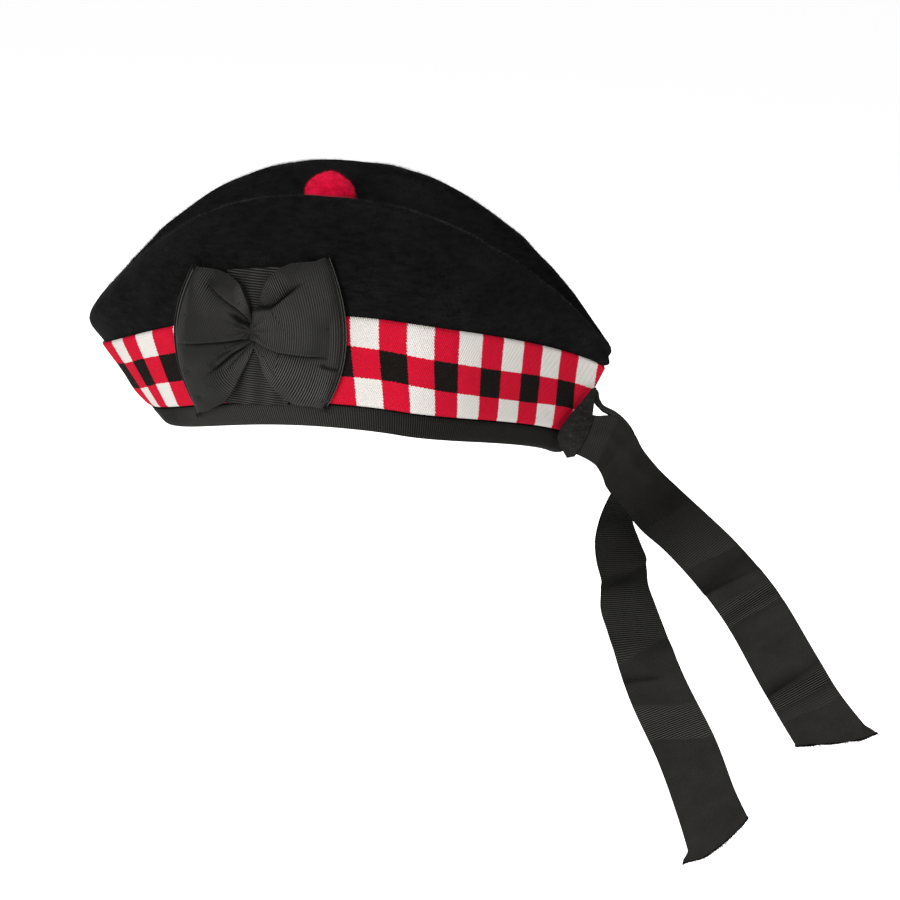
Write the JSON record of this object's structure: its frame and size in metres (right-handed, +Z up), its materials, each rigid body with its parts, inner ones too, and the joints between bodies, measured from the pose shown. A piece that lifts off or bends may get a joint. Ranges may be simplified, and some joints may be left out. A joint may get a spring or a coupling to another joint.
{
  "type": "glengarry cap",
  "caption": "Folded wool cap with a creased crown, ball toorie, woven checked band, bow cockade on the wearer's left and ribbon tails at the back; open below for a head.",
  "frame": {"origin": "middle of the rim opening, at the level the rim's two ends rest on, where the head goes in", "axes": "+X along the cap from the front to the back, +Y to the wearer's right, +Z up"},
  "size_m": [0.4124, 0.174, 0.3526],
  "materials": {
    "black_wool": "milled wool, short nap, no gloss",
    "diced_wool": "plain woven wool in red, white and black checks",
    "black_ribbon": "ribbed grosgrain, low sheen",
    "red_wool": "felted wool, no gloss"
  },
  "bodies": {
    "root": {"crown": "black_wool", "diced_band": "diced_wool", "rim_binding": "black_ribbon", "toorie": "red_wool", "cockade_backing": "black_ribbon", "cockade_bow": "black_ribbon", "back_tab": "black_wool", "tail_left": "black_ribbon", "tail_right": "black_ribbon"}
  },
  "joints": []
}
